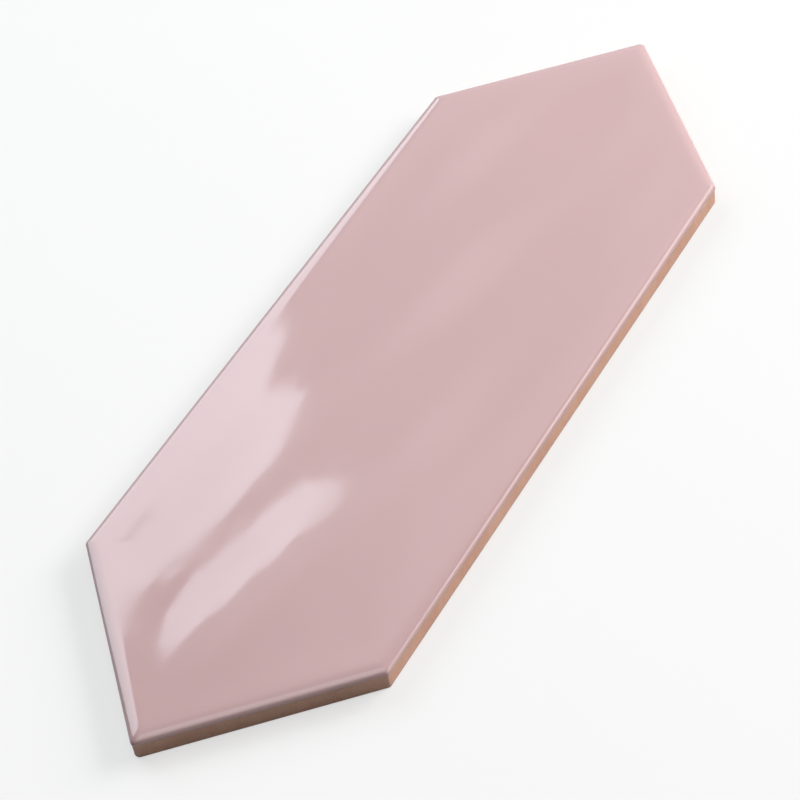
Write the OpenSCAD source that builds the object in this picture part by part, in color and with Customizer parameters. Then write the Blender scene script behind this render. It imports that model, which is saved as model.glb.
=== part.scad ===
// Picket tile: a long hexagon of pressed and fired clay with a pointed end on each side.
// The glazed face is gently waved and rolls down at the rim, the edges are bare clay,
// and the back has shallow channels that key into the adhesive.
// The origin is the middle of the back, +X runs along the tile and +Z out of its face.

/* [Outline] */
// Length from tip to tip
tile_l = 300; // [200:5:400]
// Width across the two long sides
tile_w = 100; // [60:1:150]
// Length of each pointed end, from its shoulders to its tip
point_l = 50; // [30:1:80]
// Radius of the six corners in plan
corner_r = 1.5; // [0.5:0.1:4]

/* [Section] */
// Thickness from the back to the glazed face
tile_t = 8; // [6:0.1:14]
// Width of the glazed rim that rolls down to the bare edge
rim_w = 4.5; // [2:0.1:8]
// Drop from the face to the glaze line at the top of the bare edge
rim_drop = 1.8; // [0.6:0.1:3]
// Fullness of the rolled rim: near 1 is a bevel, 2 is a round
rim_power = 2.4; // [1.2:0.1:3]
// Width of the small chamfer round the back
arris = 0.5; // [0.2:0.1:1]

/* [Waves of the face] */
// Height of the waves from hollow to crest
wave_h = 0.3; // [0:0.05:0.8]
// Length of the broad swell along the tile
swell_l = 130; // [80:5:250]
// Width of the broad swell across the tile
swell_w = 64; // [30:1:100]
// Length of the slanting ripple along the tile
ripple_l = 150; // [60:5:300]
// Width of the slanting ripple across the tile
ripple_w = 30; // [20:1:90]
// Part of the wave height that belongs to the swell
swell_share = 0.6; // [0:0.05:1]
// Distance from the rim over which the waves grow to their full height
fade_w = 14; // [5:1:25]

/* [Back] */
// Depth of the keying channels
key_depth = 0.8; // [0.3:0.1:2]
// Width of one keying channel
key_w = 7; // [4:0.5:15]
// Width of the rib between two channels
key_rib = 4; // [2:0.5:8]
// Width of the flat land round the channels
land_w = 8; // [5:0.5:15]

/* [Hidden] */
half_l = tile_l / 2;
half_w = tile_w / 2;
// Angle between a pointed end's edge and the tile's length
slant = atan2(half_w, point_l);
// Height of the glaze line, where the rim meets the bare edge
edge_h = tile_t - rim_drop;

// Mesh of the lofted body: an odd number of steps round a corner, then steps along each edge
corner_steps = 3;
point_steps = 7;
long_steps = 20;
edge_steps = [point_steps, long_steps, point_steps, point_steps, long_steps, point_steps];
rim_rings = 8;
field_rings = 11;
// Exponent that crowds the rim's rings towards the bare edge, where the roll is steepest
rim_crowding = 1.8;
// Distance from the innermost ring to the tile's middle line
ridge_gap = 3;
// How far a cutter starts below the back
cut_start = 1;

// Directions of the six edges' outward normals, with the first one repeated a turn later
normals = [slant - 90, 90 - slant, 90, 90 + slant, 270 - slant, 270, 270 + slant];

// Corner k of the outline moved inwards by d, counter-clockwise from the tip on +X
function tip_x(d) = half_l - d / sin(slant);
function shoulder_x(d) = half_l - point_l - d * tan(slant / 2);
function corner(k, d) =
    k % 3 == 0 ? [(k == 0 ? 1 : -1) * tip_x(d), 0]
    : [(k == 1 || k == 5 ? 1 : -1) * shoulder_x(d), (k < 3 ? 1 : -1) * (half_w - d)];

// Corners are tighter where a ring has little room left
function ring_r(d) = min(corner_r, (half_w - d) / 3);
function corner_arc(k, d) =
    let (r = ring_r(d), middle = corner(k, d + r), sweep = normals[k + 1] - normals[k])
    [for (j = [0 : corner_steps])
        let (a = normals[k] + sweep * j / corner_steps) middle + r * [cos(a), sin(a)]];

// Points of the outline moved inwards by d, with every edge divided evenly
function edge_points(from, to, steps) = [for (j = [1 : steps - 1]) from + (to - from) * j / steps];
function ring(d) = [
    for (k = [0 : 5])
        let (here = corner_arc(k, d), next = corner_arc((k + 1) % 6, d))
        for (p = concat(here, edge_points(here[corner_steps], next[0], edge_steps[k]))) p
];
ring_n = len(ring(0));

// Height of the rolled rim at a distance d from the edge
function rim_z(d) = edge_h + rim_drop * pow(1 - pow(1 - d / rim_w, rim_power), 1 / rim_power);

// Waves of the glazed face, from -1 to 1, and how much of them is left at a distance d from the edge
function swell(x, y) = sin(360 * x / swell_l) * cos(360 * y / swell_w);
function ripple(x, y) = sin(360 * (x / ripple_l + y / ripple_w));
function waves(x, y) = swell_share * swell(x, y) + (1 - swell_share) * ripple(x, y);
function ease(t) = t <= 0 ? 0 : t >= 1 ? 1 : t * t * (3 - 2 * t);
function lift(x, y, d) = wave_h / 2 * waves(x, y) * ease((d - rim_w) / fade_w);

// Rings of the loft as [distance from the edge, height], from the back over the edge to the middle
back_levels = [[arris, 0], [0, arris]];
rim_levels = [for (i = [0 : rim_rings])
    let (d = rim_w * pow(i / rim_rings, rim_crowding)) [d, rim_z(d)]];
field_step = (half_w - ridge_gap - rim_w) / field_rings;
field_levels = [for (i = [1 : field_rings]) [rim_w + i * field_step, tile_t]];
levels = concat(back_levels, rim_levels, field_levels);

body_points = [
    for (level = levels)
        for (p = ring(level[0])) [p[0], p[1], level[1] + lift(p[0], p[1], level[0])]
];

// Number of point i of ring k, and of its mirror image across the tile's length
function point_no(k, i) = k * ring_n + (i + ring_n) % ring_n;
function mirror_no(k, i) = point_no(k, corner_steps - i);

back_face = [for (i = [0 : ring_n - 1]) i];
loft_faces = [
    for (k = [0 : len(levels) - 2])
        for (i = [0 : ring_n - 1])
            for (face = [
                [point_no(k, i), point_no(k + 1, i), point_no(k + 1, i + 1)],
                [point_no(k, i), point_no(k + 1, i + 1), point_no(k, i + 1)]
            ]) face
];
// Strip along the middle line that joins the two halves of the innermost ring
last = len(levels) - 1;
first_i = (corner_steps + 1) / 2;
middle_faces = [
    for (i = [first_i : first_i + ring_n / 2 - 2])
        for (face = [
            [point_no(last, i), mirror_no(last, i), mirror_no(last, i + 1)],
            [point_no(last, i), mirror_no(last, i + 1), point_no(last, i + 1)]
        ]) face
];

module lofted_body() {
    polyhedron(points = body_points, faces = concat([back_face], loft_faces, middle_faces), convexity = 4);
}

// Channels run along the tile on both sides of a rib on its middle line
key_pitch = key_w + key_rib;
keys_per_side = floor((half_w - land_w + key_rib / 2) / key_pitch);

module key_channels() {
    intersection() {
        translate([0, 0, -cut_start])
            linear_extrude(cut_start + key_depth)
                polygon([for (k = [0 : 5]) corner(k, land_w)]);
        for (side = [-1, 1], i = [0 : keys_per_side - 1])
            translate([-half_l, side * (i + 0.5) * key_pitch - key_w / 2, -cut_start])
                cube([tile_l, key_w, cut_start + key_depth]);
    }
}

module picket_tile() {
    color([0.82, 0.70, 0.70])
        difference() {
            lofted_body();
            key_channels();
        }
}

picket_tile();
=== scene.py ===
"""Picket tile: a glazed wall tile with a waved face, a rolled rim, bare clay edges and a keyed back.

The tile is one fired piece, so it is one mesh with two finishes: glaze on the face and rim, biscuit
on the edges and back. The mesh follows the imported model's box and repeats the section and waves of
the part's source. The studio has a pale floor, five soft lights and a camera at the photograph's angle.
"""

import logging
import math
from dataclasses import dataclass, field
from enum import Enum
from typing import Any

import bpy
import numpy as np
from mathutils import Matrix, Vector

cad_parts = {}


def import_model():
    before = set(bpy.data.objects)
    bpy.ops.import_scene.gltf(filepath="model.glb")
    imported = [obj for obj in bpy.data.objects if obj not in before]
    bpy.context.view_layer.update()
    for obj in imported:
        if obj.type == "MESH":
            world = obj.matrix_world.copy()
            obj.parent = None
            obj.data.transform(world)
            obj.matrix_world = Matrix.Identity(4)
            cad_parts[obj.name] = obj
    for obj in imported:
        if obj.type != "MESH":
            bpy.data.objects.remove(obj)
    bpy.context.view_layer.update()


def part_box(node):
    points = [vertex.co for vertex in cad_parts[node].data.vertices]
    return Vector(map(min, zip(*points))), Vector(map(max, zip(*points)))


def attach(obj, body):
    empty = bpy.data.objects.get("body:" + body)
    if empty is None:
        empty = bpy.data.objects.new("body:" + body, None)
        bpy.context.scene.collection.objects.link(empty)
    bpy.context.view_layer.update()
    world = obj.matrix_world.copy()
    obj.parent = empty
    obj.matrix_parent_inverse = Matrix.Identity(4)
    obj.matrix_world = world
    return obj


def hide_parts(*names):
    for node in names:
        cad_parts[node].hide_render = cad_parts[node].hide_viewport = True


MM = 0.001
NODE = "picket_tile"
BODY = "root"
BACKDROP_GLOW = 1.0

log = logging.getLogger(NODE)

Triple = tuple[float, float, float]
Colour = Triple
Range = tuple[float, float]
Socket = bpy.types.NodeSocket


class Zone(Enum):
    """Stretch of the tile's section that a ring of its mesh belongs to."""

    BACK = "back"
    BARE_EDGE = "bare edge"
    GLAZE_LINE = "glaze line"
    GLAZED = "glazed"


class Attribute(str, Enum):
    """Values that the mesh carries for its shape and its finishes."""

    EDGE_GAP = "edge_gap"
    BARE_EDGE = "bare_edge"
    GLAZE_LINE = "glaze_line"
    GLAZED = "glazed"
    LIFT = "lift"


@dataclass
class NodeSketch:
    """Adds and links the nodes of one node tree."""

    tree: bpy.types.NodeTree

    def add(self, kind: str, inputs: dict[Any, Any] | None = None, **settings: Any) -> bpy.types.Node:
        """Add a node.

        Args:
            kind: The node's type name.
            inputs: Value or source socket for each input, by name or number.
            settings: The node's own properties.

        Returns:
            The new node.
        """
        node = self.tree.nodes.new(kind)
        for name, value in settings.items():
            setattr(node, name, value)
        for key, value in (inputs or {}).items():
            self.feed(node.inputs[key], value)
        return node

    def feed(self, socket: Socket, value: Any) -> None:
        """Link a socket to another one, or set its value.

        Args:
            socket: The input socket.
            value: The output socket to link, or the value.
        """
        if isinstance(value, Socket):
            self.tree.links.new(value, socket)
        else:
            socket.default_value = value

    def math(self, operation: str, *values: Any) -> Socket:
        """Add a math node.

        Args:
            operation: The name of the operation, such as MULTIPLY.
            values: A number or a socket for each operand.

        Returns:
            The result's socket.
        """
        node = self.add("ShaderNodeMath", dict(enumerate(values)), operation=operation)
        return node.outputs[0]

    def ramp(
        self, value: Socket, low: float, high: float, to_low: Any = 0.0, to_high: float = 1.0
    ) -> Socket:
        """Ease a value from one range to another.

        Args:
            value: The socket to read.
            low: The value at which the ramp starts.
            high: The value at which the ramp ends.
            to_low: The result at the start, a number or a socket.
            to_high: The result at the end.

        Returns:
            The result's socket.
        """
        inputs = {"Value": value, "From Min": low, "From Max": high, "To Min": to_low, "To Max": to_high}
        node = self.add("ShaderNodeMapRange", inputs, interpolation_type="SMOOTHSTEP")
        return node.outputs["Result"]

    def noise(self, place: Socket, scale: float, detail: float, roughness: float = 0.5) -> Socket:
        """Sample a noise.

        Args:
            place: Socket of the place in metres.
            scale: Number of the noise's features in a metre.
            detail: Number of finer octaves.
            roughness: Strength of an octave against the one before it.

        Returns:
            The socket of the noise, from 0 to 1.
        """
        inputs = {"Vector": place, "Scale": scale, "Detail": detail, "Roughness": roughness}
        return self.add("ShaderNodeTexNoise", inputs).outputs[0]

    def blend(self, factor: Any, first: Any, second: Any) -> Socket:
        """Mix two colours.

        Args:
            factor: Share of the second colour.
            first: The first colour.
            second: The second colour.

        Returns:
            The mixed colour's socket.
        """
        node = self.add("ShaderNodeMix", data_type="RGBA")
        self.feed(node.inputs["Factor"], factor)
        # The node's inputs share their names, so its colour sockets are picked by number.
        for socket, value in zip((node.inputs[6], node.inputs[7]), (first, second)):
            self.feed(socket, value if isinstance(value, Socket) else (*value, 1.0))
        return node.outputs[2]


@dataclass(frozen=True)
class PicketOutline:
    """Plan of the tile: a hexagon with two square points and slightly rounded corners.

    The steps of a corner are an even number, so that each tip has a point on the middle line.
    """

    length: float
    width: float
    corner_radius: float = 1.5 * MM
    corner_steps: int = 6
    spacing: float = 1.5 * MM

    @classmethod
    def from_box(cls, low: Vector, high: Vector) -> "PicketOutline":
        """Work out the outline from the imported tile's box.

        Args:
            low: The box's lowest corner.
            high: The box's highest corner.

        Returns:
            The outline whose rounded tips just touch the box.
        """
        width = high[1] - low[1]
        tip_cut = cls.corner_radius * (math.sqrt(2.0) - 1.0)
        return cls(length=high[0] - low[0] + 2.0 * tip_cut, width=width)

    @property
    def point(self) -> float:
        """Length of one square point, which is half the width."""
        return self.width / 2.0

    @property
    def edge_steps(self) -> list[int]:
        """Count the steps along each edge.

        Returns:
            The number of steps of the six edges, counter-clockwise from the tip on +X.
        """
        slanting = round(self.point * math.sqrt(2.0) / self.spacing)
        straight = round((self.length - 2.0 * self.point) / self.spacing)
        return [slanting, straight, slanting] * 2

    def corner(self, number: int, inset: float) -> np.ndarray:
        """Place one corner of the outline moved inwards.

        Args:
            number: The corner, counter-clockwise from the tip on +X.
            inset: How far the outline is moved inwards.

        Returns:
            The corner's X and Y.
        """
        half_shoulder_turn = math.radians(22.5)
        tip = self.length / 2.0 - inset * math.sqrt(2.0)
        shoulder = self.length / 2.0 - self.point - inset * math.tan(half_shoulder_turn)
        side = self.width / 2.0 - inset
        places = [(tip, 0.0), (shoulder, side), (-shoulder, side)]
        sign = 1.0 if number < 3 else -1.0
        return sign * np.array(places[number % 3])

    def arc(self, number: int, inset: float) -> np.ndarray:
        """Round one corner of the outline moved inwards.

        Args:
            number: The corner, counter-clockwise from the tip on +X.
            inset: How far the outline is moved inwards.

        Returns:
            The arc's points.
        """
        starts = (-45.0, 45.0, 90.0, 135.0, 225.0, 270.0)
        sweeps = (90.0, 45.0, 45.0, 90.0, 45.0, 45.0)
        # Corners are tighter where a ring has little room left.
        radius = min(self.corner_radius, (self.width / 2.0 - inset) / 3.0)
        middle = self.corner(number, inset + radius)
        share = np.linspace(0.0, 1.0, self.corner_steps + 1)
        angle = np.radians(starts[number] + sweeps[number] * share)
        return middle + radius * np.stack([np.cos(angle), np.sin(angle)], axis=1)

    def ring(self, inset: float) -> np.ndarray:
        """Give the points of the outline moved inwards, with every edge divided evenly.

        Args:
            inset: How far the outline is moved inwards.

        Returns:
            The points' X and Y, counter-clockwise from the tip on +X.
        """
        arcs = [self.arc(number, inset) for number in range(6)]
        rows = []
        for number, steps in enumerate(self.edge_steps):
            start, end = arcs[number][-1], arcs[(number + 1) % 6][0]
            share = np.arange(1, steps)[:, None] / steps
            rows += [arcs[number], start + (end - start) * share]
        return np.concatenate(rows)


@dataclass(frozen=True)
class Level:
    """One ring of the tile's mesh."""

    inset: float
    height: float
    zone: Zone


@dataclass(frozen=True)
class TileSection:
    """Section of the tile from its back, over the bare edge and the glaze line, to the face.

    The glaze stands proud of the clay by bare_inset, and its rounded lower edge is a bead of the
    height glaze_bead. Each pair in bead_profile is a share of that inset and a share of that
    height, from the clay up to the rolled rim. The rim's rings crowd towards the edge.
    """

    thickness: float = 8.0 * MM
    rim_width: float = 4.5 * MM
    rim_drop: float = 1.8 * MM
    rim_power: float = 2.4
    arris: float = 0.5 * MM
    arris_angles: tuple[float, ...] = (0.0, 30.0, 60.0, 90.0)
    bare_inset: float = 0.12 * MM
    glaze_bead: float = 0.35 * MM
    bead_profile: tuple[tuple[float, float], ...] = ((1.0, 1.0), (0.45, 0.85), (0.1, 0.5))
    bare_rings: int = 8
    rim_rings: int = 16
    rim_crowding: float = 1.8
    field_spacing: float = 1.5 * MM

    @property
    def edge_height(self) -> float:
        """Height of the outer end of the rolled rim."""
        return self.thickness - self.rim_drop

    def rim_height(self, inset: float) -> float:
        """Height of the rolled rim at a distance from the edge."""
        rest = (1.0 - inset / self.rim_width) ** self.rim_power
        return self.edge_height + self.rim_drop * (1.0 - rest) ** (1.0 / self.rim_power)

    def back_levels(self) -> list[Level]:
        """List the rings of the small rounded arris.

        Returns:
            The rings between the back and the bare edge.
        """
        angles = [math.radians(angle) for angle in self.arris_angles]
        return [
            Level(
                self.bare_inset + self.arris * (1.0 - math.sin(angle)),
                self.arris * (1.0 - math.cos(angle)),
                Zone.BACK,
            )
            for angle in angles
        ]

    def edge_levels(self) -> list[Level]:
        """List the rings of the bare edge.

        Returns:
            The rings between the back's arris and the glaze line.
        """
        top = self.edge_height - self.glaze_bead
        step = (top - self.arris) / self.bare_rings
        return [
            Level(self.bare_inset, self.arris + step * number, Zone.BARE_EDGE)
            for number in range(1, self.bare_rings)
        ]

    def glaze_line_levels(self) -> list[Level]:
        """List the rings of the glaze's rounded lower edge.

        Returns:
            The rings between the bare edge and the rolled rim.
        """
        return [
            Level(self.bare_inset * inset, self.edge_height - self.glaze_bead * drop, Zone.GLAZE_LINE)
            for inset, drop in self.bead_profile
        ]

    def face_levels(self, half_width: float) -> list[Level]:
        """List the rings of the rolled rim and the face.

        Args:
            half_width: Half of the tile's width.

        Returns:
            The rings from the edge to the innermost one beside the middle line.
        """
        shares = [number / self.rim_rings for number in range(self.rim_rings + 1)]
        rim = [self.rim_width * share**self.rim_crowding for share in shares]
        innermost = half_width - self.field_spacing
        count = round((innermost - self.rim_width) / self.field_spacing)
        step = (innermost - self.rim_width) / count
        flat = [self.rim_width + step * number for number in range(1, count + 1)]
        rolled = [Level(inset, self.rim_height(inset), Zone.GLAZED) for inset in rim]
        return rolled + [Level(inset, self.thickness, Zone.GLAZED) for inset in flat]

    def levels(self, half_width: float) -> list[Level]:
        """All rings from the back to the middle of the face."""
        edge = self.back_levels() + self.edge_levels() + self.glaze_line_levels()
        return edge + self.face_levels(half_width)


@dataclass(frozen=True)
class SurfaceRule:
    """Geometry Nodes rule for the waves, the glaze line and the pressed edge.

    The swell and ripple are those of the part's source. The fine undulation, the wander of the
    glaze line and the roughness of the clay are relief that the source leaves out. A face counts as
    glazed when the mean of its corners' marks is above glazed_from, which is when all of them are.
    """

    wave_height: float = 0.3 * MM
    swell_length: float = 130.0 * MM
    swell_width: float = 64.0 * MM
    ripple_length: float = 150.0 * MM
    ripple_width: float = 30.0 * MM
    swell_share: float = 0.6
    fade_width: float = 14.0 * MM
    fine_height: float = 0.14 * MM
    fine_length: float = 58.0 * MM
    fine_width: float = 17.0 * MM
    line_wander: float = 0.3 * MM
    line_spacing: float = 9.0 * MM
    clay_relief: float = 0.1 * MM
    clay_spacing: float = 2.2 * MM
    seed: float = 3.0
    glazed_from: float = 0.99

    def tree(self, rim_width: float, glaze: bpy.types.Material) -> bpy.types.NodeTree:
        """Build the node group.

        Args:
            rim_width: Width of the rolled rim, inside which the waves start.
            glaze: Finish of the glazed faces.

        Returns:
            The node group, whose named inputs are this rule's sizes.
        """
        tree = bpy.data.node_groups.new("tile_surface", "GeometryNodeTree")
        tree.interface.new_socket("Geometry", in_out="INPUT", socket_type="NodeSocketGeometry")
        for name in self.sizes():
            tree.interface.new_socket(name, in_out="INPUT", socket_type="NodeSocketFloat")
        tree.interface.new_socket("Geometry", in_out="OUTPUT", socket_type="NodeSocketGeometry")
        sketch = NodeSketch(tree)
        given = sketch.add("NodeGroupInput").outputs
        place = sketch.add("GeometryNodeInputPosition").outputs[0]
        lift = self.lift(sketch, given, place, rim_width)
        wander = self.wander(sketch, given, place)
        upward = sketch.add("ShaderNodeCombineXYZ", {"Z": sketch.math("ADD", lift, wander)})
        moved = sketch.add(
            "GeometryNodeSetPosition",
            {"Geometry": given["Geometry"], "Offset": upward.outputs[0]},
        )
        stored = sketch.add(
            "GeometryNodeStoreNamedAttribute",
            {"Geometry": moved.outputs[0], "Name": Attribute.LIFT.value, "Value": lift},
            data_type="FLOAT",
            domain="POINT",
        )
        pressed = sketch.add(
            "GeometryNodeSetPosition",
            {"Geometry": stored.outputs[0], "Offset": self.clay_offset(sketch, given, place)},
        )
        whole = sketch.add("GeometryNodeRealizeInstances", {"Geometry": pressed.outputs[0]})
        all_glazed = sketch.math("GREATER_THAN", self.read(sketch, Attribute.GLAZED), self.glazed_from)
        dressed = sketch.add(
            "GeometryNodeSetMaterial",
            {"Geometry": whole.outputs[0], "Selection": all_glazed, "Material": glaze},
        )
        sketch.feed(sketch.add("NodeGroupOutput").inputs[0], dressed.outputs[0])
        return tree

    def sizes(self) -> dict[str, float]:
        """List the rule's sizes.

        Returns:
            The node group's named inputs and their values.
        """
        return {
            "Wave height": self.wave_height,
            "Swell length": self.swell_length,
            "Swell width": self.swell_width,
            "Ripple length": self.ripple_length,
            "Ripple width": self.ripple_width,
            "Swell share": self.swell_share,
            "Fade width": self.fade_width,
            "Fine height": self.fine_height,
            "Line wander": self.line_wander,
            "Clay relief": self.clay_relief,
            "Seed": self.seed,
        }

    @staticmethod
    def read(sketch: NodeSketch, attribute: Attribute) -> Socket:
        """Read one of the mesh's own attributes."""
        node = sketch.add("GeometryNodeInputNamedAttribute", {"Name": attribute.value}, data_type="FLOAT")
        return node.outputs[0]

    @staticmethod
    def noise(sketch: NodeSketch, place: Socket, spacing: Triple, seed: Socket, detail: float) -> Socket:
        """Sample a noise.

        Args:
            sketch: The tree to build in.
            place: The position's socket.
            spacing: Size of the noise's features along X, Y and Z, or 0 where it doesn't vary.
            seed: The noise's fourth coordinate.
            detail: Number of finer octaves.

        Returns:
            The socket of the noise, from 0 to 1.
        """
        scale = tuple(1.0 / size if size else 0.0 for size in spacing)
        scaled = sketch.add("ShaderNodeVectorMath", {0: place, 1: scale}, operation="MULTIPLY")
        inputs = {"Vector": scaled.outputs[0], "W": seed, "Scale": 1.0, "Detail": detail}
        return sketch.add("ShaderNodeTexNoise", inputs, noise_dimensions="4D").outputs[0]

    def lift(self, sketch: NodeSketch, given: Any, place: Socket, rim_width: float) -> Socket:
        """Build the height of the waves and the fine undulation of the face.

        Args:
            sketch: The tree to build in.
            given: The group's input sockets.
            place: The position's socket.
            rim_width: Width of the rolled rim.

        Returns:
            The socket of the height.
        """
        split = sketch.add("ShaderNodeSeparateXYZ", {0: place}).outputs
        turns = {
            name: sketch.math("MULTIPLY", sketch.math("DIVIDE", axis, given[name]), math.tau)
            for name, axis in (
                ("Swell length", split["X"]),
                ("Swell width", split["Y"]),
                ("Ripple length", split["X"]),
                ("Ripple width", split["Y"]),
            )
        }
        swell = sketch.math(
            "MULTIPLY",
            sketch.math("SINE", turns["Swell length"]),
            sketch.math("COSINE", turns["Swell width"]),
        )
        ripple = sketch.math("SINE", sketch.math("ADD", turns["Ripple length"], turns["Ripple width"]))
        rest = sketch.math("SUBTRACT", 1.0, given["Swell share"])
        waves = sketch.math(
            "ADD",
            sketch.math("MULTIPLY", swell, given["Swell share"]),
            sketch.math("MULTIPLY", ripple, rest),
        )
        broad = sketch.math("MULTIPLY", waves, sketch.math("DIVIDE", given["Wave height"], 2.0))
        fine_size = (self.fine_length, self.fine_width, 0.0)
        fine_noise = self.noise(sketch, place, fine_size, given["Seed"], detail=2.0)
        fine = sketch.math("MULTIPLY", sketch.math("SUBTRACT", fine_noise, 1.0), given["Fine height"])
        gap = self.read(sketch, Attribute.EDGE_GAP)
        inside = sketch.math("DIVIDE", sketch.math("SUBTRACT", gap, rim_width), given["Fade width"])
        fade = sketch.ramp(inside, 0.0, 1.0)
        return sketch.math("MULTIPLY", sketch.math("ADD", broad, fine), fade)

    def wander(self, sketch: NodeSketch, given: Any, place: Socket) -> Socket:
        """Build the rise and fall of the glaze line along the edge.

        Args:
            sketch: The tree to build in.
            given: The group's input sockets.
            place: The position's socket.

        Returns:
            The socket of the height, which is 0 away from the glaze line.
        """
        spacing = (self.line_spacing, self.line_spacing, 0.0)
        noise = self.noise(sketch, place, spacing, given["Seed"], detail=3.0)
        swing = sketch.math("MULTIPLY", sketch.math("SUBTRACT", noise, 0.5), given["Line wander"])
        return sketch.math("MULTIPLY", swing, self.read(sketch, Attribute.GLAZE_LINE))

    def clay_offset(self, sketch: NodeSketch, given: Any, place: Socket) -> Socket:
        """Build the inward relief of the bare pressed edge.

        Args:
            sketch: The tree to build in.
            given: The group's input sockets.
            place: The position's socket.

        Returns:
            The socket of the offset, which is 0 away from the bare edge.
        """
        spacing = (self.clay_spacing, self.clay_spacing, self.clay_spacing)
        noise = self.noise(sketch, place, spacing, given["Seed"], detail=3.0)
        depth = sketch.math("MULTIPLY", sketch.math("SUBTRACT", noise, 1.0), given["Clay relief"])
        depth = sketch.math("MULTIPLY", depth, self.read(sketch, Attribute.BARE_EDGE))
        normal = sketch.add("GeometryNodeInputNormal").outputs[0]
        return sketch.add("ShaderNodeVectorMath", {0: normal, "Scale": depth}, operation="SCALE").outputs[0]


@dataclass(frozen=True)
class KeyingChannels:
    """Geometry Nodes rule for the shallow channels that are pressed into the back.

    Edges that turn by more than round_above degrees are rounded by edge_round.
    """

    depth: float = 0.8 * MM
    width: float = 7.0 * MM
    rib: float = 4.0 * MM
    land: float = 8.0 * MM
    edge_round: float = 0.25 * MM
    round_segments: int = 2
    round_above: float = 65.0

    @property
    def pitch(self) -> float:
        """Distance from one channel to the next."""
        return self.width + self.rib

    def count(self, half_width: float) -> int:
        """Number of channels, the same on both sides of the rib on the middle line."""
        return 2 * math.floor((half_width - self.land + self.rib / 2.0) / self.pitch)

    def field(self, outline: PicketOutline) -> bpy.types.Object:
        """Build the prism inside the flat land, which bounds every channel.

        Args:
            outline: The tile's plan.

        Returns:
            A helper object, which isn't part of the tile.
        """
        plan = [outline.corner(number, self.land) for number in range(6)]
        points = [(*corner, height) for height in (-self.depth, self.depth) for corner in plan]
        sides = [(n, (n + 1) % 6, (n + 1) % 6 + 6, n + 6) for n in range(6)]
        mesh = bpy.data.meshes.new("channel_field")
        mesh.from_pydata(points, [], [tuple(range(5, -1, -1)), tuple(range(6, 12)), *sides])
        return bpy.data.objects.new("channel_field", mesh)

    def tree(self, clay: bpy.types.Material) -> bpy.types.NodeTree:
        """Build the node group that cuts the channels.

        Args:
            clay: Finish of the bare clay, which every face gets before the glaze.

        Returns:
            The node group, whose named inputs are the channels' sizes.
        """
        tree = bpy.data.node_groups.new("keying_channels", "GeometryNodeTree")
        for name, kind in self.sockets().items():
            tree.interface.new_socket(name, in_out="INPUT", socket_type=kind)
        tree.interface.new_socket("Geometry", in_out="OUTPUT", socket_type="NodeSocketGeometry")
        sketch = NodeSketch(tree)
        given = sketch.add("NodeGroupInput").outputs
        size = sketch.add(
            "ShaderNodeCombineXYZ",
            {"X": given["Length"], "Y": given["Width"], "Z": sketch.math("MULTIPLY", given["Depth"], 2.0)},
        )
        cutter = sketch.add("GeometryNodeMeshCube", {"Size": size.outputs[0]})
        gaps = sketch.math("SUBTRACT", given["Count"], 1.0)
        half_span = sketch.math("MULTIPLY", sketch.math("MULTIPLY", gaps, given["Pitch"]), -0.5)
        start = sketch.add("ShaderNodeCombineXYZ", {"Y": half_span}).outputs[0]
        step = sketch.add("ShaderNodeCombineXYZ", {"Y": given["Pitch"]}).outputs[0]
        row = sketch.add(
            "GeometryNodeMeshLine", {"Count": given["Count"], "Start Location": start, "Offset": step}
        )
        copies = sketch.add(
            "GeometryNodeInstanceOnPoints", {"Points": row.outputs[0], "Instance": cutter.outputs[0]}
        )
        cutters = sketch.add("GeometryNodeRealizeInstances", {"Geometry": copies.outputs[0]})
        bound = sketch.add("GeometryNodeObjectInfo", {"Object": given["Field"]})
        inside = sketch.add("GeometryNodeMeshBoolean", operation="INTERSECT", solver="EXACT")
        tree.links.new(cutters.outputs[0], inside.inputs["Mesh 2"])
        tree.links.new(bound.outputs["Geometry"], inside.inputs["Mesh 2"])
        cut = sketch.add("GeometryNodeMeshBoolean", operation="DIFFERENCE", solver="EXACT")
        tree.links.new(given["Geometry"], cut.inputs["Mesh 1"])
        tree.links.new(inside.outputs[0], cut.inputs["Mesh 2"])
        whole = sketch.add("GeometryNodeRealizeInstances", {"Geometry": cut.outputs[0]})
        dressed = sketch.add("GeometryNodeSetMaterial", {"Geometry": whole.outputs[0], "Material": clay})
        sketch.feed(sketch.add("NodeGroupOutput").inputs[0], dressed.outputs[0])
        return tree

    def soften(self, piece: bpy.types.Object) -> None:
        """Round the sharp edges of the channels, as pressed clay has them.

        Args:
            piece: The tile, whose only edges that turn by more than round_above are the channels'.
        """
        bevel = piece.modifiers.new("channel_edges", "BEVEL")
        bevel.width = self.edge_round
        bevel.segments = self.round_segments
        bevel.limit_method = "ANGLE"
        bevel.angle_limit = math.radians(self.round_above)
        bevel.use_clamp_overlap = False

    @staticmethod
    def sockets() -> dict[str, str]:
        """List the node group's inputs.

        Returns:
            The inputs' names and kinds, in their order.
        """
        return {
            "Geometry": "NodeSocketGeometry",
            "Field": "NodeSocketObject",
            "Count": "NodeSocketInt",
            "Pitch": "NodeSocketFloat",
            "Width": "NodeSocketFloat",
            "Depth": "NodeSocketFloat",
            "Length": "NodeSocketFloat",
        }


def add_rule(piece: bpy.types.Object, tree: bpy.types.NodeTree, values: dict[str, Any]) -> None:
    """Put a node group on a piece as a modifier.

    Args:
        piece: The piece.
        tree: The node group.
        values: A value for each named input.
    """
    modifier = piece.modifiers.new(tree.name, "NODES")
    modifier.node_group = tree
    for item in tree.interface.items_tree:
        if item.in_out == "INPUT" and item.name in values:
            modifier[item.identifier] = values[item.name]


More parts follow.
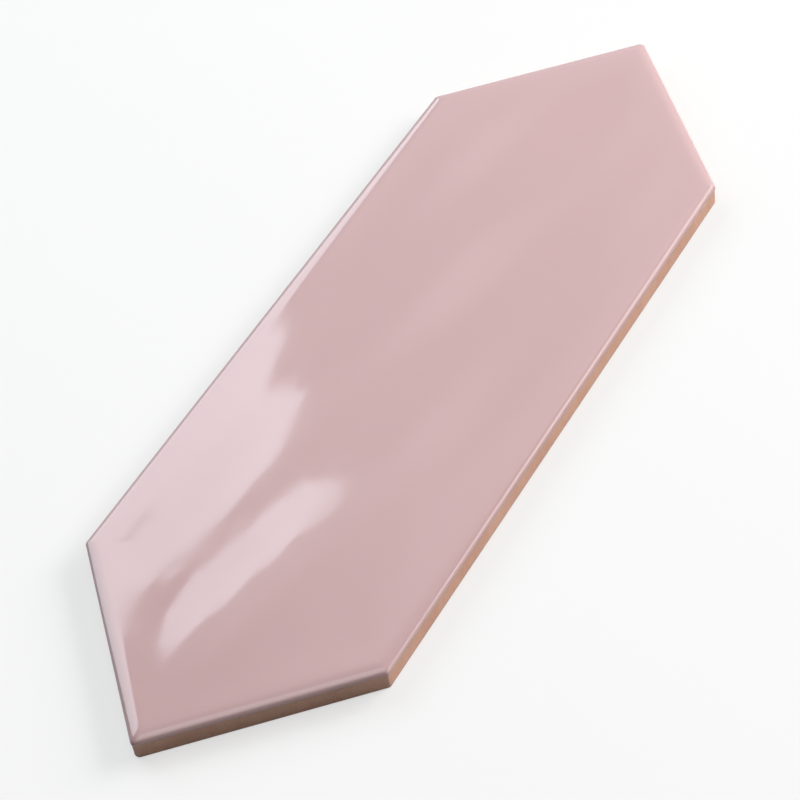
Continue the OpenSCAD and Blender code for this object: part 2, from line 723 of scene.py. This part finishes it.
def settle(piece: bpy.types.Object) -> None:
    """Turn a piece with modifiers into a plain mesh that has their result, without empty slots.

    Args:
        piece: The piece.
    """
    graph = bpy.context.evaluated_depsgraph_get()
    mesh = bpy.data.meshes.new_from_object(piece.evaluated_get(graph))
    for slot in reversed(range(len(mesh.materials))):
        if mesh.materials[slot] is None:
            mesh.materials.pop(index=slot)
    piece.modifiers.clear()
    piece.data = mesh


@dataclass(frozen=True)
class GlazeFinish:
    """Glossy, opaque pink glaze that pools a little in the hollows and thins over the rim."""

    colour: Colour = (0.410, 0.280, 0.282)
    pool_colour: Colour = (0.382, 0.253, 0.255)
    thin_colour: Colour = (0.330, 0.205, 0.175)
    pool_depth: float = 0.12 * MM
    pool_share: float = 0.75
    mottle: float = 0.25
    mottle_scale: float = 28.0
    thin_width: float = 0.3 * MM
    thin_share: float = 0.7
    roughness: Range = (0.045, 0.075)
    breath_scale: float = 90.0
    breath_span: Range = (0.3, 0.7)
    crinkle_scale: float = 160.0
    crinkle_height: float = 0.02 * MM
    crinkle_strength: float = 0.35
    refraction: float = 1.52

    def material(self) -> bpy.types.Material:
        """Build the finish.

        Returns:
            The material.
        """
        material = bpy.data.materials.new("pink_glaze")
        material.use_nodes = True
        sketch = NodeSketch(material.node_tree)
        surface = material.node_tree.nodes["Principled BSDF"]
        place = sketch.add("ShaderNodeTexCoord").outputs["Object"]
        cloud = sketch.noise(place, self.mottle_scale, detail=4.0, roughness=0.55)
        lift = sketch.add("ShaderNodeAttribute", attribute_name=Attribute.LIFT.value).outputs["Fac"]
        hollow = sketch.ramp(lift, -self.pool_depth, self.pool_depth, self.pool_share, 0.0)
        pool = sketch.math("ADD", hollow, sketch.math("MULTIPLY", cloud, self.mottle))
        colour = sketch.blend(pool, self.colour, self.pool_colour)
        gap = sketch.add("ShaderNodeAttribute", attribute_name=Attribute.EDGE_GAP.value).outputs["Fac"]
        thin = sketch.ramp(gap, 0.0, self.thin_width, self.thin_share, 0.0)
        colour = sketch.blend(thin, colour, self.thin_colour)
        sketch.feed(surface.inputs["Base Color"], colour)
        breath = sketch.noise(place, self.breath_scale, detail=3.0)
        sketch.feed(surface.inputs["Roughness"], sketch.ramp(breath, *self.breath_span, *self.roughness))
        surface.inputs["IOR"].default_value = self.refraction
        crinkle = sketch.noise(place, self.crinkle_scale, detail=2.0)
        sizes = {"Strength": self.crinkle_strength, "Distance": self.crinkle_height}
        bump = sketch.add("ShaderNodeBump", {**sizes, "Height": crinkle})
        sketch.feed(surface.inputs["Normal"], bump.outputs[0])
        return material


@dataclass(frozen=True)
class BiscuitFinish:
    """Bare pressed clay: matt, warm tan, with grog specks and small pits."""

    colour: Colour = (0.425, 0.245, 0.180)
    pale_colour: Colour = (0.475, 0.290, 0.222)
    dark_colour: Colour = (0.215, 0.115, 0.080)
    cloud_scale: float = 60.0
    cloud_span: Range = (0.35, 0.7)
    cloud_share: float = 0.7
    grain_scale: float = 1400.0
    grain_span: Range = (0.2, 0.8)
    grog_scale: float = 900.0
    grog_span: Range = (0.10, 0.22)
    grog_share: float = 0.7
    drag_scale: float = 420.0
    drag_span: Range = (0.35, 0.65)
    drag_stretch: float = 0.12
    drag_tint: float = 0.3
    drag_height: float = 0.5
    pit_depth: float = 0.8
    relief: float = 0.12 * MM
    relief_strength: float = 0.6
    roughness: Range = (0.78, 0.95)
    specular: float = 0.25

    def material(self) -> bpy.types.Material:
        """Build the finish.

        Returns:
            The material.
        """
        material = bpy.data.materials.new("biscuit_clay")
        material.use_nodes = True
        sketch = NodeSketch(material.node_tree)
        surface = material.node_tree.nodes["Principled BSDF"]
        place = sketch.add("ShaderNodeTexCoord").outputs["Object"]
        cloud = sketch.noise(place, self.cloud_scale, detail=6.0)
        grain = sketch.noise(place, self.grain_scale, detail=3.0)
        grog = sketch.add("ShaderNodeTexVoronoi", {"Vector": place, "Scale": self.grog_scale})
        drawn = sketch.add("ShaderNodeMapping", {"Vector": place, "Scale": (1.0, 1.0, self.drag_stretch)})
        drag = sketch.noise(drawn.outputs[0], self.drag_scale, detail=4.0)
        drag = sketch.ramp(drag, *self.drag_span)
        cloudy = sketch.ramp(cloud, *self.cloud_span, 0.0, self.cloud_share)
        tone = sketch.math("ADD", cloudy, sketch.math("MULTIPLY", drag, self.drag_tint))
        colour = sketch.blend(tone, self.colour, self.pale_colour)
        speck = sketch.ramp(grog.outputs["Distance"], *self.grog_span, self.grog_share, 0.0)
        colour = sketch.blend(speck, colour, self.dark_colour)
        sketch.feed(surface.inputs["Base Color"], colour)
        sketch.feed(surface.inputs["Roughness"], sketch.ramp(grain, *self.grain_span, *self.roughness))
        surface.inputs["Specular IOR Level"].default_value = self.specular
        marks = sketch.math("ADD", grain, sketch.math("MULTIPLY", drag, self.drag_height))
        height = sketch.math("SUBTRACT", marks, sketch.math("MULTIPLY", speck, self.pit_depth))
        sizes = {"Strength": self.relief_strength, "Distance": self.relief}
        bump = sketch.add("ShaderNodeBump", {**sizes, "Height": height})
        sketch.feed(surface.inputs["Normal"], bump.outputs[0])
        return material


@dataclass
class PicketTile:
    """The tile: one fired piece with a glazed face and a bare edge and back.

    Edges that turn by more than crease_above degrees are shaded as sharp ones.
    """

    outline: PicketOutline
    section: TileSection = field(default_factory=TileSection)
    surface: SurfaceRule = field(default_factory=SurfaceRule)
    channels: KeyingChannels = field(default_factory=KeyingChannels)
    glaze: GlazeFinish = field(default_factory=GlazeFinish)
    clay: BiscuitFinish = field(default_factory=BiscuitFinish)
    crease_above: float = 40.0

    def blank(self) -> bpy.types.Object:
        """Loft the tile from its rings, without waves or channels.

        Returns:
            The tile's object.
        """
        levels = self.section.levels(self.outline.width / 2.0)
        rings = [self.outline.ring(level.inset) for level in levels]
        count = len(rings[0])
        points = np.concatenate(
            [np.column_stack([ring, np.full(count, level.height)]) for ring, level in zip(rings, levels)]
        )
        mesh = bpy.data.meshes.new("picket_tile_blank")
        mesh.from_pydata(points.tolist(), [], self.faces(len(levels), count))
        self.mark(mesh, levels, count)
        mesh.validate()
        piece = bpy.data.objects.new("fired_tile", mesh)
        bpy.context.scene.collection.objects.link(piece)
        return piece

    def faces(self, levels: int, count: int) -> list[tuple[int, ...]]:
        """List the faces of the loft.

        Args:
            levels: Number of rings.
            count: Number of points in a ring.

        Returns:
            The back, the bands between rings, and the strip that closes the innermost ring.
        """
        faces: list[tuple[int, ...]] = [tuple(range(count - 1, -1, -1))]
        for level in range(levels - 1):
            low, high = level * count, (level + 1) * count
            for point in range(count):
                after = (point + 1) % count
                faces.append((low + point, low + after, high + after, high + point))
        last, apex = (levels - 1) * count, self.outline.corner_steps // 2
        for step in range(count // 2):
            # The strip's first and last faces end in a tip, so two of their four corners are one.
            loop = (apex + step, apex + step + 1, apex - step - 1, apex - step)
            faces.append(tuple(dict.fromkeys(last + point % count for point in loop)))
        return faces

    @staticmethod
    def mark(mesh: bpy.types.Mesh, levels: list[Level], count: int) -> None:
        """Store what the surface rule and the finishes read at each point.

        Args:
            mesh: The loft's mesh.
            levels: Its rings.
            count: Number of points in a ring.
        """
        values = {
            Attribute.EDGE_GAP: [level.inset for level in levels],
            Attribute.BARE_EDGE: [float(level.zone is Zone.BARE_EDGE) for level in levels],
            Attribute.GLAZE_LINE: [float(level.zone is Zone.GLAZE_LINE) for level in levels],
            Attribute.GLAZED: [float(level.zone in (Zone.GLAZE_LINE, Zone.GLAZED)) for level in levels],
        }
        for attribute, rings in values.items():
            data = mesh.attributes.new(attribute.value, "FLOAT", "POINT").data
            data.foreach_set("value", np.repeat(np.array(rings, dtype=np.float32), count))

    def build(self) -> bpy.types.Object:
        """Build and dress the tile.

        Returns:
            The finished piece, a plain mesh.
        """
        piece = self.blank()
        surface = self.surface.tree(self.section.rim_width, self.glaze.material())
        half_width = self.outline.width / 2.0
        field_prism = self.channels.field(self.outline)
        bpy.context.scene.collection.objects.link(field_prism)
        channel_sizes = {
            "Field": field_prism,
            "Count": self.channels.count(half_width),
            "Pitch": self.channels.pitch,
            "Width": self.channels.width,
            "Depth": self.channels.depth,
            "Length": self.outline.length,
        }
        add_rule(piece, self.channels.tree(self.clay.material()), channel_sizes)
        self.channels.soften(piece)
        add_rule(piece, surface, self.surface.sizes())
        settle(piece)
        bpy.data.objects.remove(field_prism)
        piece.data.shade_smooth()
        piece.data.set_sharp_from_angle(angle=math.radians(self.crease_above))
        return piece


@dataclass(frozen=True)
class SoftBox:
    """A large flat studio light, placed by its direction from the tile in degrees.

    An upright light stands like a window, and any other is square to its direction. Its feather is
    the share of its width and height over which each side fades. One that isn't mirrored still
    lights the tile.
    """

    name: str
    azimuth: float
    elevation: float
    distance: float
    width: float
    height: float
    strength: float
    colour: Colour
    feather: float
    upright: bool = False
    mirrored: bool = True

    def build(self) -> bpy.types.Object:
        """Build the light.

        Returns:
            The light's object.
        """
        light = bpy.data.lights.new(self.name, "AREA")
        light.shape = "RECTANGLE"
        light.size = self.width
        light.size_y = self.height
        # Power goes with the area, so a light looks as bright at any size.
        light.energy = self.strength * math.pi * self.width * self.height
        light.color = self.colour
        light.use_nodes = True
        sketch = NodeSketch(light.node_tree)
        place = sketch.add("ShaderNodeNewGeometry").outputs["Parametric"]
        split = sketch.add("ShaderNodeSeparateXYZ", {0: place}).outputs
        shares = [self.fall_off(sketch, split[axis]) for axis in ("X", "Y")]
        emission = light.node_tree.nodes["Emission"]
        sketch.feed(emission.inputs["Strength"], sketch.math("MULTIPLY", *shares))
        lamp = bpy.data.objects.new(self.name, light)
        azimuth, elevation = math.radians(self.azimuth), math.radians(self.elevation)
        level = math.cos(elevation)
        towards = Vector((level * math.cos(azimuth), level * math.sin(azimuth), math.sin(elevation)))
        lamp.location = towards * self.distance
        back = towards.xy.to_3d() if self.upright else towards
        lamp.rotation_euler = back.to_track_quat("Z", "Y").to_euler()
        lamp.visible_camera = False
        lamp.visible_glossy = self.mirrored
        bpy.context.scene.collection.objects.link(lamp)
        return lamp

    def fall_off(self, sketch: NodeSketch, across: Socket) -> Socket:
        """Fade the light towards two opposite edges.

        Args:
            sketch: The light's node tree.
            across: Socket of the place across the light, from 0 to 1.

        Returns:
            The socket of the share of light that is left.
        """
        from_middle = sketch.math("ABSOLUTE", sketch.math("SUBTRACT", across, 0.5))
        return sketch.ramp(from_middle, 0.5 - self.feather, 0.5, 1.0, 0.0)


@dataclass(frozen=True)
class Surroundings:
    """Pale backdrop that the camera sees, and the dim room that lights the tile and is mirrored in it.

    The walls fade into the ceiling from wall_top to ceiling_start, which are heights of a direction
    from 0 at the horizon to 1 straight up. They grow from dark_end to bright_end, which say how far
    a direction turns towards bright_side, from -1 to 1.
    """

    backdrop: float = BACKDROP_GLOW
    walls: float = 0.5
    ceiling: float = 0.05
    wall_top: float = 0.3
    ceiling_start: float = 0.55
    bright_side: Triple = (0.707, 0.707, 0.0)
    dark_end: float = -0.5
    bright_end: float = 0.9

    def build(self) -> None:
        """Build the surroundings and give them to the scene."""
        world = bpy.data.worlds.new("studio")
        world.use_nodes = True
        sketch = NodeSketch(world.node_tree)
        direction = sketch.add("ShaderNodeTexCoord").outputs["Generated"]
        height = sketch.add("ShaderNodeSeparateXYZ", {0: direction}).outputs["Z"]
        wall = sketch.ramp(height, self.wall_top, self.ceiling_start, self.walls, 0.0)
        sides = {0: direction, 1: self.bright_side}
        turn = sketch.add("ShaderNodeVectorMath", sides, operation="DOT_PRODUCT").outputs["Value"]
        facing = sketch.ramp(turn, self.dark_end, self.bright_end)
        dim = sketch.math("ADD", sketch.math("MULTIPLY", wall, facing), self.ceiling)
        seen = sketch.add("ShaderNodeLightPath").outputs["Is Camera Ray"]
        level = sketch.add("ShaderNodeMix", {0: seen, 2: dim, 3: self.backdrop}).outputs[0]
        background = world.node_tree.nodes["Background"]
        background.inputs["Color"].default_value = (1.0, 1.0, 1.0, 1.0)
        sketch.feed(background.inputs["Strength"], level)
        bpy.context.scene.world = world


@dataclass(frozen=True)
class PaperFloor:
    """Matt pale floor that runs into the backdrop away from the tile.

    Near the tile the share near_glow of what the camera sees is the backdrop's glow, which keeps
    the shadow faint. From cove_start to cove_end the floor becomes the backdrop.
    """

    size: float = 12.0
    colour: Colour = (0.560, 0.555, 0.550)
    roughness: float = 0.9
    specular: float = 0.1
    backdrop: float = BACKDROP_GLOW
    near_glow: float = 0.6
    cove_start: float = 0.3
    cove_end: float = 0.95

    def build(self, height: float) -> bpy.types.Object:
        """Lay the floor.

        Args:
            height: Height of the surface that the tile rests on.

        Returns:
            The floor.
        """
        half = self.size / 2.0
        plan = ((-half, -half), (half, -half), (half, half), (-half, half))
        mesh = bpy.data.meshes.new("floor")
        mesh.from_pydata([(*corner, height) for corner in plan], [], [(0, 1, 2, 3)])
        mesh.materials.append(self.material())
        floor = bpy.data.objects.new("floor", mesh)
        bpy.context.scene.collection.objects.link(floor)
        return floor

    def material(self) -> bpy.types.Material:
        """Build the paper, which turns into the backdrop's glow away from the tile.

        Returns:
            The material.
        """
        material = bpy.data.materials.new("floor_paper")
        material.use_nodes = True
        sketch = NodeSketch(material.node_tree)
        surface = material.node_tree.nodes["Principled BSDF"]
        surface.inputs["Base Color"].default_value = (*self.colour, 1.0)
        surface.inputs["Roughness"].default_value = self.roughness
        surface.inputs["Specular IOR Level"].default_value = self.specular
        place = sketch.add("ShaderNodeTexCoord").outputs["Object"]
        reach = sketch.add("ShaderNodeVectorMath", {0: place}, operation="LENGTH").outputs["Value"]
        seen = sketch.add("ShaderNodeLightPath").outputs["Is Camera Ray"]
        near = sketch.math("MULTIPLY", seen, self.near_glow)
        far = sketch.ramp(reach, self.cove_start, self.cove_end, near, 1.0)
        glow = sketch.add("ShaderNodeEmission", {"Strength": self.backdrop})
        mix = sketch.add("ShaderNodeMixShader", {0: far, 1: surface.outputs[0], 2: glow.outputs[0]})
        sketch.feed(material.node_tree.nodes["Material Output"].inputs["Surface"], mix.outputs[0])
        return material


@dataclass(frozen=True)
class Studio:
    """Floor, surroundings and five soft lights that stay clear of the horizon."""

    floor: PaperFloor = PaperFloor()
    surroundings: Surroundings = Surroundings()
    lights: tuple[SoftBox, ...] = (
        SoftBox(
            name="left_window",
            azimuth=71.0,
            elevation=42.7,
            distance=1.77,
            width=1.43,
            height=1.4,
            strength=4.8,
            colour=(0.82, 0.925, 1.0),
            feather=0.012,
            upright=True,
        ),
        SoftBox(
            name="back_diffuser",
            azimuth=16.0,
            elevation=42.0,
            distance=1.6,
            width=1.4,
            height=1.5,
            strength=1.05,
            colour=(1.0, 0.99, 0.99),
            feather=0.22,
        ),
        SoftBox(
            name="top_diffuser",
            azimuth=217.0,
            elevation=79.0,
            distance=1.6,
            width=1.3,
            height=1.5,
            strength=2.3,
            colour=(1.0, 0.99, 0.99),
            feather=0.3,
        ),
        SoftBox(
            name="right_key",
            azimuth=-33.0,
            elevation=28.0,
            distance=1.8,
            width=1.2,
            height=1.0,
            strength=15.1,
            colour=(1.0, 0.985, 0.96),
            feather=0.15,
            mirrored=False,
        ),
        SoftBox(
            name="right_card",
            azimuth=-36.0,
            elevation=36.0,
            distance=1.8,
            width=2.4,
            height=1.0,
            strength=4.7,
            colour=(1.0, 0.985, 0.96),
            feather=0.3,
        ),
    )

    def build(self, height: float) -> None:
        """Set up the floor, the surroundings and the lights.

        Args:
            height: Height of the surface that the tile rests on.
        """
        self.floor.build(height)
        self.surroundings.build()
        for light in self.lights:
            light.build()
            log.info("light %s: strength %.1f", light.name, light.strength)
        bpy.context.scene.view_settings.view_transform = "Standard"


@dataclass(frozen=True)
class PhotoCamera:
    """Camera at the photograph's place and tilt, aimed at the tile and zoomed in on it.

    The roll is in degrees, and the lens and sensor are in millimetres.
    """

    place: Triple = (-0.3891, -0.2906, 0.5551)
    target: Triple = (-0.0155, -0.0041, 0.0060)
    roll: float = -9.38
    lens: float = 111.6
    sensor: float = 36.0
    clip_start: float = 0.01

    def build(self) -> bpy.types.Object:
        """Build the camera and make it the scene's own.

        Returns:
            The camera's object.
        """
        camera = bpy.data.cameras.new("camera")
        camera.lens = self.lens
        camera.sensor_width = self.sensor
        camera.sensor_fit = "HORIZONTAL"
        camera.clip_start = self.clip_start
        holder = bpy.data.objects.new("camera", camera)
        place = Vector(self.place)
        aim = (Vector(self.target) - place).to_track_quat("-Z", "Y").to_matrix().to_4x4()
        tilt = Matrix.Rotation(math.radians(self.roll), 4, "Z")
        holder.matrix_world = Matrix.Translation(place) @ aim @ tilt
        bpy.context.scene.collection.objects.link(holder)
        bpy.context.scene.camera = holder
        return holder


def main() -> None:
    """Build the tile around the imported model, and its studio."""
    logging.basicConfig(level=logging.INFO, format="%(name)s: %(message)s")
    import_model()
    low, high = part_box(NODE)
    tile = PicketTile(PicketOutline.from_box(Vector(low), Vector(high)))
    piece = tile.build()
    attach(piece, BODY)
    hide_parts(NODE)
    log.info("%s: %d faces", piece.name, len(piece.data.polygons))
    Studio().build(low[2])
    PhotoCamera().build()


if __name__ == "__main__":
    main()
